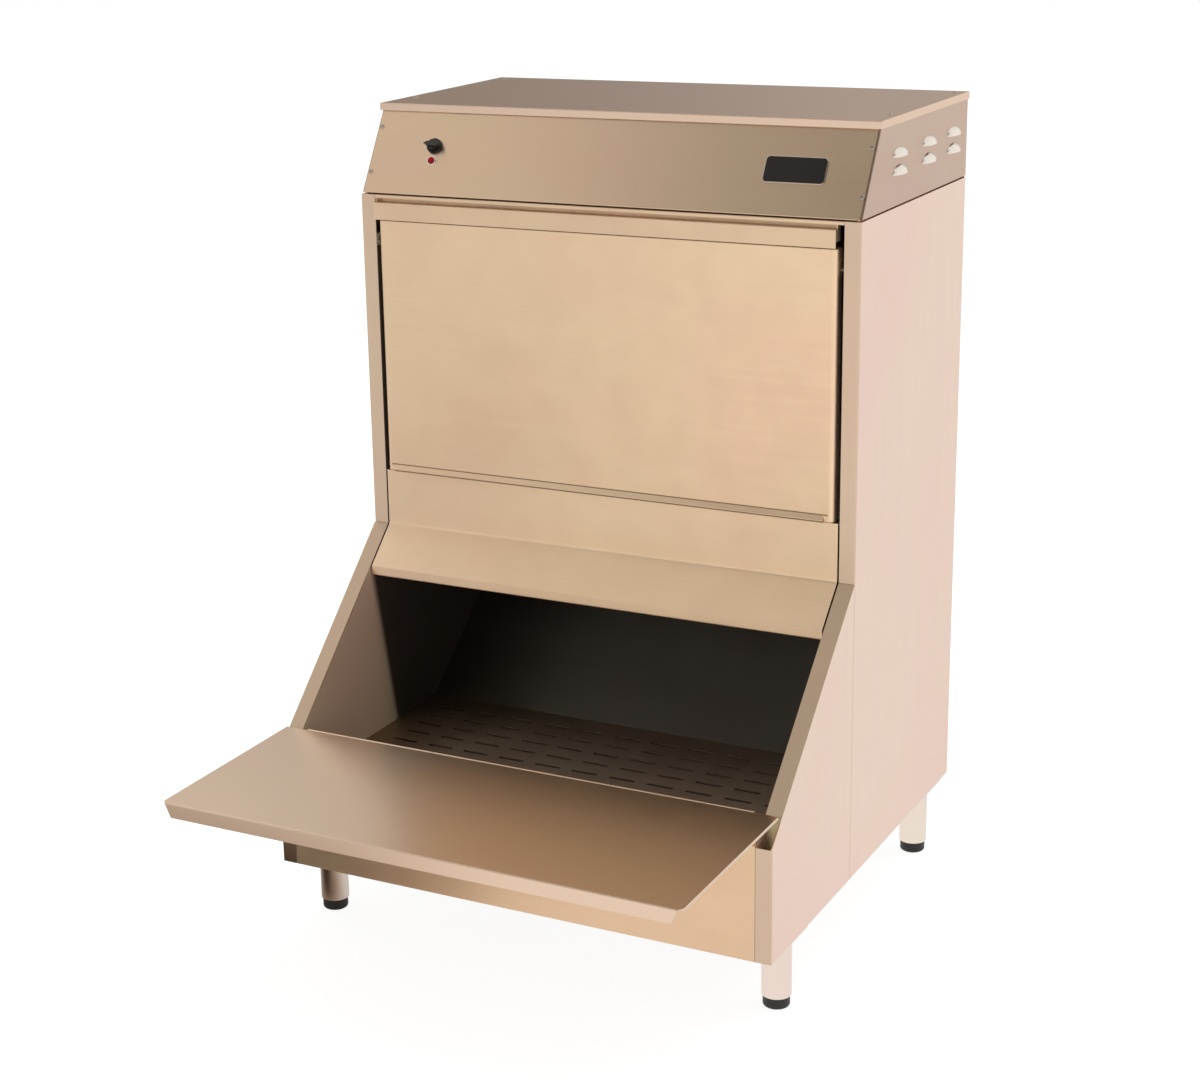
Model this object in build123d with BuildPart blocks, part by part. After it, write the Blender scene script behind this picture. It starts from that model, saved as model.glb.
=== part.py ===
from build123d import *

import os
from math import acos, atan2, cos, hypot, sin, tan

# Tortilla chip warmer: a heated stainless cabinet that is loaded through an upper door
# and served from a sloped hopper whose door folds down into a work shelf.
# Units are millimetres.  +Z is up, the front faces -Y, and the origin lies on the floor
# below the centre of the whole object with its shelf down.

# --- cabinet -------------------------------------------------------------------------
body_width = 762.0
body_depth = 432.0  # upper cabinet, front plane to back panel
hopper_reach = 289.0  # the hopper's nose in front of the upper cabinet
leg_height = 105.0  # floor to cabinet underside
body_height = 930.0  # cabinet underside to header seam
kink_height = 437.0  # cabinet underside to the top of the slope
apron_height = 165.0  # cabinet underside to the bottom of the slope
post_width = 23.0  # folded front edges of the side walls
rail_height = 35.0
rail_relief = 10.0  # the rail stops short on the right so the door rod can be drawn out
rail_end_rise = 8.0  # keeps the rail's folded ends clear of the door's top as it swings
deck_lip = 4.5  # the deck's folded front edge
deck_groove = 6.0  # shadow groove between the deck and the rail
groove_depth = 12.0
skin = 1.5  # outer sheet
liner = 1.2  # inner sheet
bend = 2.0  # outside bend radius of folded sheet
seam_gap = 0.5  # open line between two sheets that butt
rear_flange = 15.0
tray_height = 40.0

# --- inner walls ---------------------------------------------------------------------
back_wall = 52.0  # cavity side of the back liner to the outside of the back
duct_depth = 25.6  # hot air duct behind the back liner
cross_gap = 1.0  # ends of the inner cross sheets to the posts
floor_height = 120.0  # cabinet underside to the perforated floor
floor_depth_behind_front = 120.0
chute_height = 330.0  # cabinet underside to the top of the rear chute
air_slot_length = 40.0
air_slot_width = 6.0

# --- throat between the two doors ----------------------------------------------------
throat_slope = 75.0
throat_lip = 14.5
throat_wall = 20.0
throat_hem = 18.0
throat_side_gap = 2.5

# --- header --------------------------------------------------------------------------
header_height = 123.0
panel_setback = 67.0  # how far the control panel leans back below the lid flange
lid_flange = 10.5
lid_clearance = 0.3
header_groove = 2.6
header_flange = 18.0
header_groove_depth = 6.0
header_bend = 2.5  # outside bend beside the control panel
panel_edge = 3.2  # control panel's end inside the header's side
louvre_length = 54.0
louvre_throw = 8.5
louvre_radius = 14.0
louvre_wall = 1.2
louvre_rows = (44.5, 68.5)  # above the seam
louvre_columns = (143.0, 263.0, 370.0)  # behind the front plane

# --- controls ------------------------------------------------------------------------
knob_from_edge = 103.0
knob_along = 78.0
lamp_along = 56.0
knob_radius = 11.5
knob_height = 12.0
pointer_reach = 13.5
pointer_width = 8.0
shaft_radius = 3.0
bushing_radius = 5.0
running_gap = 0.06
lamp_radius = 6.0
lamp_rim = 0.8
lamp_depth = 18.0
lamp_dome = 3.5
badge_width = 86.0
badge_height = 36.0
badge_corner = 5.0
badge_thick = 1.6
badge_from_edge = 106.0
badge_along = 68.0

# --- upper door ----------------------------------------------------------------------
door_side_gap = 7.5
door_proud = 6.0  # the rail's and the door's faces in front of the front plane
door_depth = 20.0
door_bend = 8.0  # upright edges
door_top_bend = 1.4
door_bottom_height = 522.5  # cabinet underside to the door's lower edge
door_top_gap = 0.8  # lets the door's top swing in below the rail
pull_rise = 9.5  # the pull's fold above the door's lower edge
pull_drop = 2.5  # the pull's lip below the door's lower edge
pull_throw = 4.0
pull_fold = 5.0  # height of the pull's lip
pull_end_gap = 14.0
sill_gap = 2.5
pivot_behind_face = 18.0
pivot_below_rail = 30.0
rod_radius = 4.0
roller_radius = 7.0
roller_width = 8.0
roller_gap = 0.3
track_depth = 13.0
track_length = 328.0

# --- lower door ----------------------------------------------------------------------
hinge_along = 43.0  # hinge line up the slope from the nose
notch_rise = 3.0  # hinge line to the lower ends of the side flanges
ledge_rise = 2.0  # hinge line to the top of the apron
hinge_half_length = 345.0
knuckle_count = 10
knuckle_radius = 3.5
pin_radius = 1.6
leaf_thick = 1.2
leaf_width = 28.0
hinge_gap = 0.3
door_rest_gap = 0.5  # between the shut door and the slope
shelf_length = 306.0  # hinge line to the front edge
shelf_side_inset = 2.0
shelf_lip = 20.0
shelf_hem = 8.0
shelf_side_hem = 4.5
shelf_side_hem_width = 6.0
shelf_clip_x = 5.0
shelf_clip_y = 7.0
lip_end_slant = 9.0

# --- legs ----------------------------------------------------------------------------
leg_radius = 20.65
leg_wall = 1.6
leg_side_inset = 28.0
leg_front_inset = 89.0
leg_rear_inset = 74.0
leg_plate_thick = 3.0
leg_plate_x = 54.0
leg_plate_y = 88.0
leg_bolt_x = 36.0
leg_bolt_y = 68.0
leg_bolt_radius = 3.0
foot_radius = 18.6
foot_height = 17.0
foot_stem_radius = 6.0
foot_stem_length = 48.0
foot_clearance = 0.3
foot_bend = 4.0
plug_height = 14.0
thread_gap = 0.08
bolt_head_radius = 5.0
bolt_head_height = 4.0
bolt_end = 5.0  # above the base pan's sheet

# --- heating and air -----------------------------------------------------------------
wheel_radius = 38.0
wheel_width = 44.0
blower_radius = 50.0
blower_width = 56.0
blower_wall = 1.5
blade_count = 24
motor_radius = 31.0
motor_length = 58.0
motor_shaft_radius = 4.0
element_radius = 4.0
element_half_span = 260.0
element_riser = 110.0
element_bend = 20.0
element_upper_height = 760.0  # cabinet underside to the element's upper runs
element_spread = 60.0  # upper runs to lower runs
element_lead_height = 24.0  # above the deck
element_clearance = 0.3
bracket_x = 180.0
bracket_thick = 2.0
bracket_margin = 14.0
inlet_ratio = 0.7  # blower inlet to wheel
motor_bend = 5.0
motor_foot_inset = 12.0
motor_foot_half = 18.0
hub_radius = 9.0
hub_length = 16.0
wheel_plate = 2.0
wheel_ring = 3.0
wheel_ring_width = 7.0
blade_chord = 6.0
blade_thick = 1.2
blade_inset = 4.0
blade_angle = 35.0
blower_above_deck = 57.0
vent_behind_front = 140.0
limit_x = 150.0
limit_flange_radius = 14.0
limit_flange_thick = 4.0
limit_radius = 9.0
limit_height = 12.0
limit_tab_pitch = 8.0
limit_tab_thick = 1.0
limit_tab_width = 6.0
limit_tab_height = 10.0
terminal_x = 225.0
terminal_length = 50.0
terminal_width = 24.0
terminal_height = 16.0
terminal_from_back = 78.0
terminal_ways = 5
terminal_slot = 2.0
terminal_slot_depth = 6.0

# --- thermostat ----------------------------------------------------------------------
thermostat_depth = 28.0
thermostat_size = 30.0
thermostat_corner = 3.0
shaft_end = 11.0
shaft_root = 8.0
press_gap = 0.02  # between pieces pushed on to each other
knob_gap = 0.5
knob_skirt = 4.0
knob_hub_ratio = 0.72

# --- crumb tray ----------------------------------------------------------------------
crumb_half = 300.0
crumb_length = 300.0
crumb_behind_nose = 79.0
crumb_height = 22.0
ledge_width = 14.0

# --- fasteners and small fittings ----------------------------------------------------
screw_radius = 2.0
screw_head_radius = 3.6
screw_head_height = 1.6
screw_slot = 0.9
screw_length = 7.0
panel_screw_inset = 7.0
panel_screw_rows = (35.0, 105.0)  # up the control panel from the seam
lid_screw_inset = 14.0
lid_screw_rows = (140.0, 414.0)  # behind the front plane
back_screw_margin = 60.0
gland_bore_radius = 4.5
gland_thread_radius = 9.0
gland_flange_radius = 13.0
gland_reach = 16.0
gland_cap_radius = 10.5
gland_cap_bend = 2.5
gland_flange_thick = 6.0
gland_thread_length = 12.0
gland_from_edge = 120.0
gland_above_seam = 50.0
vents_above_gland = 15.0

# --- places worked out from the sizes above ------------------------------------------
half = body_width / 2
z_base = leg_height
z_seam = z_base + body_height
z_kink = z_base + kink_height
z_corner = z_base + apron_height
z_top = z_seam + header_height
z_rail = z_seam - rail_height
z_deck = z_seam - skin  # underside of the deck
z_tray = z_base + tray_height
z_floor = z_base + floor_height
x_post = half - post_width
x_cross = x_post - cross_gap
slope_angle = atan2(kink_height - apron_height, hopper_reach)
slope_length = hypot(hopper_reach, kink_height - apron_height)
hinge_out = knuckle_radius + hinge_gap
hinge_from_front = -hopper_reach + hinge_along * cos(slope_angle) - hinge_out * sin(slope_angle)
lid_overhang = lid_clearance + skin
y_front = -(hinge_from_front - shelf_length + body_depth + gland_reach) / 2
y_back = y_front + body_depth
y_nose = y_front - hopper_reach
y_liner = y_back - back_wall
y_duct = y_liner + liner + duct_depth
panel_angle = atan2(header_height - lid_flange, panel_setback)


def on_slope(along, out=0.0):
    """Point (y, z) a given way up the hopper slope from its nose, and out from it."""
    y = y_nose + along * cos(slope_angle) - out * sin(slope_angle)
    z = z_corner + along * sin(slope_angle) + out * cos(slope_angle)
    return (y, z)


def on_panel(along, out=0.0):
    """Point (y, z) a given way up the control panel from the seam, and out from it."""
    y = y_front + along * cos(panel_angle) - out * sin(panel_angle)
    z = z_seam + along * sin(panel_angle) + out * cos(panel_angle)
    return (y, z)


def panel_plane(x, along, out=0.0):
    """Plane on the control panel whose normal points out of it."""
    y, z = on_panel(along, out)
    return Plane(origin=(x, y, z), x_dir=(1, 0, 0), z_dir=(0, -sin(panel_angle), cos(panel_angle)))


def inset_path(points, distance):
    """Parallel of an open (y, z) path, on its right-hand side, with mitred corners."""
    shifted = []
    for index, (y, z) in enumerate(points):
        directions = []
        for first, second in ((index - 1, index), (index, index + 1)):
            if first >= 0 and second < len(points):
                run_y = points[second][0] - points[first][0]
                run_z = points[second][1] - points[first][1]
                run = hypot(run_y, run_z)
                directions.append((run_y / run, run_z / run))
        (ay, az), (by, bz) = directions[0], directions[-1]
        scale = distance / (1 + ay * by + az * bz)
        shifted.append((y + (az + bz) * scale, z - (ay + by) * scale))
    return shifted


def strip(points, thickness):
    """Closed outline of a folded sheet whose outer face follows the path."""
    return list(points) + inset_path(points, thickness)[::-1]


def prism(outline, x_low, x_high, mode=Mode.ADD):
    """Add or cut a solid of one (y, z) outline between two x planes."""
    with BuildSketch(Plane.YZ.offset(x_low)) as profile:
        with BuildLine():
            Polyline(*outline, close=True)
        make_face()
    extrude(profile.sketch, amount=x_high - x_low, mode=mode)


def block(x_span, y_span, z_span, mode=Mode.ADD):
    """Add or cut a box given by its low and high corner on each axis."""
    spans = (x_span, y_span, z_span)
    centre = tuple((low + high) / 2 for low, high in spans)
    with Locations(centre):
        Box(*(high - low for low, high in spans), mode=mode)


def rod(x_low, x_high, y, z, radius, mode=Mode.ADD):
    """Add or cut a cylinder along X."""
    with Locations(Location(((x_low + x_high) / 2, y, z), (0, 90, 0))):
        Cylinder(radius, x_high - x_low, mode=mode)


def post(x, y, z_low, z_high, radius, mode=Mode.ADD):
    """Add or cut an upright cylinder."""
    with Locations((x, y, (z_low + z_high) / 2)):
        Cylinder(radius, z_high - z_low, mode=mode)


def soften(edge_list, radius):
    """Round the given edges of the part in hand."""
    fillet(edge_list, radius=radius)


def x_edges_at(part, *points):
    """Edges along X that pass through the given (y, z) points."""
    found = []
    for edge in part.edges().filter_by(Axis.X):
        middle = edge.center()
        for y, z in points:
            if hypot(middle.Y - y, middle.Z - z) < 0.01:
                found.append(edge)
    return found


def z_edges_at(part, *points):
    """Edges along Z that pass through the given (x, y) points."""
    found = []
    for edge in part.edges().filter_by(Axis.Z):
        middle = edge.center()
        for x, y in points:
            if hypot(middle.X - x, middle.Y - y) < 0.01:
                found.append(edge)
    return found


def outer_rim(part, x, along, out):
    """Edges of the face that lies a given way out from the control panel."""
    y, z = on_panel(along, out)
    facing = part.faces().sort_by_distance((x, y, z))
    return facing[0].edges()


def mirrored(source):
    """The same piece for the other side of the cabinet."""
    with BuildPart() as other_side:
        mirror(source.part, about=Plane.YZ)
    return other_side


# --- base ----------------------------------------------------------------------------
tray_front = y_nose + skin
tray_back = y_back - 2 * skin
leg_places = [
    (side * (half - leg_side_inset), y)
    for side in (-1, 1)
    for y in (y_nose + leg_front_inset, y_back - leg_rear_inset)
]
bolt_places = [
    (x + bx * leg_bolt_x / 2, y + by * leg_bolt_y / 2)
    for x, y in leg_places
    for bx in (-1, 1)
    for by in (-1, 1)
]

with BuildPart() as base_pan:
    block((-half + skin, half - skin), (tray_front, tray_back), (z_base, z_tray))
    block(
        (-half + 2 * skin, half - 2 * skin),
        (tray_front + skin, tray_back - skin),
        (z_base + skin, z_tray),
        mode=Mode.SUBTRACT,
    )
    for x, y in bolt_places:
        post(x, y, z_base, z_base + skin, leg_bolt_radius + running_gap, mode=Mode.SUBTRACT)

with BuildPart() as base_insulation:
    block(
        (-half + 2 * skin, half - 2 * skin),
        (tray_front + skin, tray_back - skin),
        (z_base + skin, z_tray - liner),
    )
    for x, y in bolt_places:
        post(x, y, z_base, z_base + 3 * skin + leg_bolt_radius * 2, leg_bolt_radius * 2, mode=Mode.SUBTRACT)

with BuildPart() as plenum_floor:
    block(
        (-half + 2 * skin, half - 2 * skin),
        (tray_front + skin, tray_back - skin),
        (z_tray - liner, z_tray),
    )

# --- back wall -----------------------------------------------------------------------
back_screw_places = [
    (side * (half - skin - rear_flange / 2), z)
    for side in (-1, 1)
    for z in (z_base + back_screw_margin, z_base + body_height / 2, z_seam - back_screw_margin)
]

with BuildPart() as back_panel:
    block((-half + skin, half - skin), (y_back - skin, y_back), (z_base, z_seam))
    for x, z in back_screw_places:
        with Locations(Location((x, y_back, z), (90, 0, 0))):
            Cylinder(screw_radius + running_gap, 4 * skin, mode=Mode.SUBTRACT)

with BuildPart() as duct_sheet:
    block((-x_cross, x_cross), (y_duct, y_duct + liner), (z_tray, z_deck))

with BuildPart() as back_insulation:
    block(
        (-x_cross, x_cross),
        (y_duct + liner, y_back - 2 * skin),
        (z_tray, z_deck),
    )

with BuildPart() as back_liner:
    block((-x_post + seam_gap, x_post - seam_gap), (y_liner, y_liner + liner), (z_tray, z_deck))
    with Locations(Plane(origin=(0, y_liner, (z_tray + z_floor) / 2), z_dir=(0, -1, 0))):
        with GridLocations(2 * air_slot_length, 4 * air_slot_width, 8, 2):
            Box(air_slot_length, 2 * air_slot_width, 4 * liner, mode=Mode.SUBTRACT)

# --- side walls ----------------------------------------------------------------------
y_door_face = y_front - door_proud
pivot_y = y_door_face + pivot_behind_face
pivot_z = z_rail - pivot_below_rail
track_half_height = roller_radius + roller_gap + skin
z_track_low = pivot_z - track_half_height
z_track_high = pivot_z + track_half_height
y_track = y_front + skin

with BuildPart() as side_panel_right:
    block((half - skin, half), (y_front, y_back), (z_base, z_seam))
    block((x_post, half), (y_front, y_front + skin), (z_kink, z_seam))
    block((half - skin - rear_flange, half), (y_back - 2 * skin, y_back - skin), (z_base, z_seam))
    soften(z_edges_at(side_panel_right.part, (half, y_front)), bend)
    for x, z in back_screw_places:
        with Locations(Location((x, y_back - skin, z), (90, 0, 0))):
            Cylinder(screw_radius + running_gap, 6 * skin, mode=Mode.SUBTRACT)
side_panel_left = mirrored(side_panel_right)

y_gusset = y_front - seam_gap
z_gusset = z_kink - seam_gap * tan(slope_angle)
notch_along = hinge_along + notch_rise
flange_outline = [
    on_slope(notch_along),
    (y_gusset, z_gusset),
    (y_gusset, z_gusset - skin / cos(slope_angle)),
    on_slope(notch_along, -skin),
]

with BuildPart() as hopper_side_right:
    prism(
        [(y_gusset, z_base), (y_gusset, z_gusset), (y_nose, z_corner), (y_nose, z_base)],
        half - skin,
        half,
    )
    prism(flange_outline, x_post, half)
    block((x_post, half), (y_nose, y_nose + skin), (z_base, z_corner - bend))
    soften(z_edges_at(hopper_side_right.part, (half, y_nose)), bend)
hopper_side_left = mirrored(hopper_side_right)

y_wall_front = y_front + skin
slope_under_skin_z = z_kink + skin * tan(slope_angle) - skin / cos(slope_angle)
nose_inside = y_nose + skin
nose_inside_z = z_corner + skin * tan(slope_angle) - skin / cos(slope_angle)

with BuildPart() as side_liner_right:
    prism(
        [
            (y_wall_front, z_track_low),
            (y_wall_front, slope_under_skin_z),
            (nose_inside, nose_inside_z),
            (nose_inside, z_tray),
            (y_liner + liner, z_tray),
            (y_liner + liner, z_track_low),
        ],
        x_post,
        x_post + liner,
    )
side_liner_left = mirrored(side_liner_right)

insulation_nose = on_slope(notch_along, -2 * skin)
insulation_back = y_back - screw_length - 2 * skin

with BuildPart() as side_insulation:
    for x_low, x_high in ((x_post + liner, half - skin), (-half + skin, -x_post - liner)):
        prism(
            [
                (y_wall_front, z_track_low),
                (y_wall_front, slope_under_skin_z - skin),
                insulation_nose,
                (insulation_nose[0], z_tray),
                (insulation_back, z_tray),
                (insulation_back, z_track_low),
            ],
            x_low,
            x_high,
        )

with BuildPart() as door_tracks:
    for side in (-1, 1):
        x_mouth = side * x_post
        x_web = side * (x_post + track_depth)
        block(
            sorted((x_mouth, x_web)),
            (y_track, y_track + track_length),
            (z_track_low, z_track_high),
        )
        block(
            sorted((x_mouth, x_web - side * skin)),
            (y_track, y_track + track_length - skin),
            (z_track_low + skin, z_track_high - skin),
            mode=Mode.SUBTRACT,
        )

# --- front of the cabinet ------------------------------------------------------------
door_bottom = z_base + door_bottom_height
z_throat = door_bottom - sill_gap
throat_end = (y_front - throat_slope * cos(slope_angle), z_kink - throat_slope * sin(slope_angle))
z_lip = throat_end[1] - throat_lip
x_front_panel = x_post - seam_gap
x_throat = x_post - throat_side_gap
x_rail_end = x_post - rail_relief
z_rail_top = z_seam - deck_lip - deck_groove
y_groove = y_front + groove_depth

with BuildPart() as top_rail:
    block((-x_front_panel, x_rail_end), (y_door_face, y_door_face + skin), (z_rail, z_rail_top))
    block((-x_front_panel, x_rail_end), (y_door_face, y_groove), (z_rail_top - skin, z_rail_top))
    block((-x_front_panel, x_rail_end), (y_groove - skin, y_groove), (z_rail_top - skin, z_deck))
    for x_low in (-x_front_panel, x_rail_end - skin):
        block((x_low, x_low + skin), (y_door_face, y_groove), (z_rail + rail_end_rise, z_rail_top))
        block((x_low, x_low + skin), (y_front + skin, y_groove), (z_rail_top - skin, z_deck))
    soften(x_edges_at(top_rail.part, (y_door_face, z_rail_top)), 1.0)

throat_path = [
    (y_front, z_throat),
    (y_front, z_kink),
    throat_end,
    (throat_end[0], z_lip),
    (throat_end[0] + throat_hem, z_lip),
]

with BuildPart() as throat_panel:
    prism(strip(throat_path, -skin), -x_throat, x_throat)
    soften(x_edges_at(throat_panel.part, throat_path[1]), 6.0)
    soften(x_edges_at(throat_panel.part, throat_path[2], throat_path[3]), bend)

liner_kink_z = z_kink + throat_wall * tan(slope_angle) - throat_wall / cos(slope_angle)
liner_end_z = z_lip + skin + liner * cos(slope_angle)
liner_end_y = y_front + throat_wall - (liner_kink_z - liner_end_z) / tan(slope_angle)

with BuildPart() as throat_liner:
    prism(
        strip(
            [
                (y_front + skin, z_throat - liner),
                (y_front + throat_wall, z_throat - liner),
                (y_front + throat_wall, liner_kink_z),
                (liner_end_y, liner_end_z),
            ],
            -liner,
        ),
        -x_front_panel,
        x_front_panel,
    )

ledge_top = on_slope(hinge_along + ledge_rise)

with BuildPart() as front_apron:
    apron_path = [
        (y_nose, z_base),
        (y_nose, z_corner),
        ledge_top,
        (ledge_top[0], z_tray),
    ]
    prism(strip(apron_path, skin), -x_front_panel, x_front_panel)
    block(
        (-x_front_panel, x_front_panel),
        (y_nose + skin, y_nose + 3 * skin),
        (z_base, z_tray),
        mode=Mode.SUBTRACT,
    )
    soften(x_edges_at(front_apron.part, apron_path[1], apron_path[2]), bend)

# --- floor of the bin ----------------------------------------------------------------
apron_inside = ledge_top[0]
floor_back = y_front + floor_depth_behind_front

with BuildPart() as hopper_floor:
    block(
        (-x_cross, x_cross),
        (apron_inside + seam_gap, floor_back + ledge_width),
        (z_floor, z_floor + skin),
    )
    with Locations((0, (apron_inside + floor_back) / 2, z_floor + skin / 2)):
        with GridLocations(1.5 * air_slot_length, 6 * air_slot_width, 11, 9):
            Box(air_slot_length, air_slot_width, 4 * skin, mode=Mode.SUBTRACT)

with BuildPart() as floor_supports:
    for side in (-1, 1):
        block(
            sorted((side * x_post, side * (x_post - ledge_width))),
            (apron_inside + seam_gap, floor_back + ledge_width),
            (z_floor - skin, z_floor),
        )
        block(
            sorted((side * x_post, side * (x_post - skin))),
            (apron_inside + seam_gap, floor_back + ledge_width),
            (z_floor - ledge_width, z_floor),
        )

chute_foot = (floor_back, z_floor + skin)
chute_head = (y_liner, z_base + chute_height)

with BuildPart() as chute_panel:
    prism(
        [
            chute_foot,
            chute_head,
            (chute_head[0], chute_head[1] - 2 * skin),
            (chute_foot[0] + 2 * skin, chute_foot[1]),
        ],
        -x_cross,
        x_cross,
    )

crumb_front = y_nose + crumb_behind_nose
crumb_back = crumb_front + crumb_length

with BuildPart() as crumb_tray:
    block((-crumb_half, crumb_half), (crumb_front, crumb_back), (z_tray, z_tray + crumb_height))
    block(
        (-crumb_half + liner, crumb_half - liner),
        (crumb_front + liner, crumb_back - liner),
        (z_tray + liner, z_tray + crumb_height),
        mode=Mode.SUBTRACT,
    )

# --- deck between the bin and the header ---------------------------------------------
blower_y = y_duct - blower_radius
blower_z = z_seam + blower_above_deck
outlet_low = y_liner + liner
outlet_high = y_duct
element_y = (y_liner + liner + y_duct) / 2

with BuildPart() as top_deck:
    block((-half + skin, half - skin), (y_front + skin, tray_back), (z_deck, z_seam))
    block((-x_front_panel, x_front_panel), (y_front, y_front + skin), (z_seam - deck_lip, z_seam))
    for side in (-1, 1):
        block(
            sorted((side * (half - skin), side * (half - 2 * skin))),
            (y_front + 2 * skin, tray_back),
            (z_seam - rear_flange, z_seam),
        )
    with Locations((0, y_front + vent_behind_front, z_deck)):
        with GridLocations(1.5 * air_slot_length, 4 * air_slot_width, 7, 4):
            Box(air_slot_length, air_slot_width, 4 * skin, mode=Mode.SUBTRACT)
    block(
        (-blower_width / 2 + blower_wall, blower_width / 2 - blower_wall),
        (outlet_low + blower_wall, outlet_high - blower_wall),
        (z_deck - skin, z_seam + skin),
        mode=Mode.SUBTRACT,
    )
    for side in (-1, 1):
        x = side * element_riser
        bore = element_radius + element_clearance
        post(x, element_y, z_deck - skin, z_seam + skin, bore, mode=Mode.SUBTRACT)
    soften(x_edges_at(top_deck.part, (y_front, z_seam)), 1.0)

# --- header --------------------------------------------------------------------------
z_lid_under = z_top - skin
panel_top = (z_lid_under - z_seam) / sin(panel_angle)
panel_low = header_groove / sin(panel_angle)
panel_screw_places = [
    (side * (half - panel_screw_inset), along)
    for side in (-1, 1)
    for along in panel_screw_rows
]
lid_screw_places = [
    (side * (half - lid_screw_inset), y_front + y)
    for side in (-1, 1)
    for y in lid_screw_rows
]
knob_x = -half + knob_from_edge
badge_x = half - badge_from_edge


def louvre_bulge(y, z, length, radius, mode):
    """Half-spheroid hood on the header's side, flat and open below."""
    centre_x = half + louvre_throw - louvre_radius
    with BuildSketch(Plane(origin=(centre_x, y, z), x_dir=(0, 1, 0), z_dir=(0, 0, 1))) as oval:
        Ellipse(length, radius)
        Rectangle(2 * length, radius, align=(Align.CENTER, Align.MAX), mode=Mode.SUBTRACT)
    revolve(
        oval.sketch,
        axis=Axis((centre_x, y, z), (0, 1, 0)),
        revolution_arc=360,
        mode=mode,
    )


hood_half = louvre_length / 2 / sin(acos((louvre_radius - louvre_throw) / louvre_radius))

with BuildPart() as louvre_hood:
    louvre_bulge(0, 0, hood_half, louvre_radius, Mode.ADD)
    louvre_bulge(0, 0, hood_half - louvre_wall, louvre_radius - louvre_wall, Mode.SUBTRACT)
    block(
        (half - skin, half + louvre_radius),
        (-hood_half, hood_half),
        (0, louvre_radius),
        mode=Mode.INTERSECT,
    )

with BuildPart() as louvre_slot:
    louvre_bulge(0, 0, hood_half - louvre_wall, louvre_radius - louvre_wall, Mode.ADD)
    block(
        (half - 2 * skin, half + louvre_radius),
        (-hood_half, hood_half),
        (0, louvre_radius),
        mode=Mode.INTERSECT,
    )

louvre_places = [(y_front + y, z_seam + z) for y in louvre_columns for z in louvre_rows]

side_rise = skin * cos(panel_angle)
side_low = on_panel((header_groove + side_rise) / sin(panel_angle), -skin)
side_high = on_panel((z_lid_under - z_seam + side_rise) / sin(panel_angle), -skin)
flange_run = skin / sin(panel_angle)

with BuildPart() as header_side_right:
    prism([side_low, side_high, (y_back, side_high[1]), (y_back, side_low[1])], half - skin, half)
    prism(
        [
            side_low,
            side_high,
            (side_high[0] + flange_run, side_high[1]),
            (side_low[0] + flange_run, side_low[1]),
        ],
        half - header_flange,
        half,
    )
    bend_middle = (half, (side_low[0] + side_high[0]) / 2, (side_low[1] + side_high[1]) / 2)
    soften(header_side_right.part.edges().sort_by_distance(bend_middle)[0], header_bend)
    block(
        (half - header_flange, half - skin),
        (y_front + header_groove_depth, y_back - 2 * skin),
        (side_low[1], side_low[1] + skin),
    )
    block(
        (half - header_groove_depth - skin, half - header_groove_depth),
        (y_front + header_groove_depth, y_back - 2 * skin),
        (z_seam, side_low[1]),
    )
    block(
        (half - header_flange, half - skin),
        (y_front + panel_setback + header_flange, y_back - 2 * skin),
        (z_lid_under - skin, z_lid_under),
    )
    for y, z in louvre_places:
        with Locations((0, y, z)):
            add(louvre_slot.part, mode=Mode.SUBTRACT)
            add(louvre_hood.part)
    for x, along in panel_screw_places:
        with Locations(panel_plane(x, along)):
            Cylinder(screw_radius + running_gap, 8 * skin, mode=Mode.SUBTRACT)
    for x, y in lid_screw_places:
        post(x, y, z_top - 6 * skin, z_top, screw_radius + running_gap, mode=Mode.SUBTRACT)
header_side_left = mirrored(header_side_right)

with BuildPart() as control_panel:
    prism(
        [
            on_panel(panel_low),
            on_panel(panel_top),
            on_panel(panel_top, -skin),
            on_panel(panel_low, -skin),
        ],
        -half + panel_edge,
        half - panel_edge,
    )
    with Locations(panel_plane(knob_x, knob_along)):
        Cylinder(bushing_radius + running_gap, 8 * skin, mode=Mode.SUBTRACT)
    with Locations(panel_plane(knob_x, lamp_along)):
        Cylinder(lamp_radius + running_gap, 8 * skin, mode=Mode.SUBTRACT)
    for x, along in panel_screw_places:
        with Locations(panel_plane(x, along)):
            Cylinder(screw_radius + running_gap, 8 * skin, mode=Mode.SUBTRACT)
    soften(x_edges_at(control_panel.part, on_panel(panel_low)), 1.0)

gland_x = half - gland_from_edge
gland_z = z_seam + gland_above_seam

with BuildPart() as header_back:
    block((-half + skin, half - skin), (y_back - skin, y_back), (z_seam, z_lid_under))
    with Locations(Location((gland_x, y_back, gland_z), (90, 0, 0))):
        Cylinder(gland_thread_radius + running_gap, 4 * skin, mode=Mode.SUBTRACT)
    with Locations(Plane(origin=(0, y_back, gland_z + vents_above_gland), z_dir=(0, -1, 0))):
        with GridLocations(1.5 * air_slot_length, 3 * air_slot_width, 5, 3):
            Box(air_slot_length, air_slot_width, 4 * skin, mode=Mode.SUBTRACT)

lid_front = y_front + panel_setback - skin - 2 * lid_clearance
lid_back = y_back + lid_overhang

with BuildPart() as top_lid:
    block((-half - lid_overhang, half + lid_overhang), (lid_front, lid_back), (z_top - lid_flange, z_top))
    block(
        (-half - lid_clearance, half + lid_clearance),
        (lid_front + skin, lid_back - skin),
        (z_top - lid_flange, z_top - skin),
        mode=Mode.SUBTRACT,
    )
    soften(top_lid.part.faces().sort_by(Axis.Z)[-1].edges(), 1.2)
    for x, y in lid_screw_places:
        post(x, y, z_top - 3 * skin, z_top + skin, screw_radius + running_gap, mode=Mode.SUBTRACT)


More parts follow.
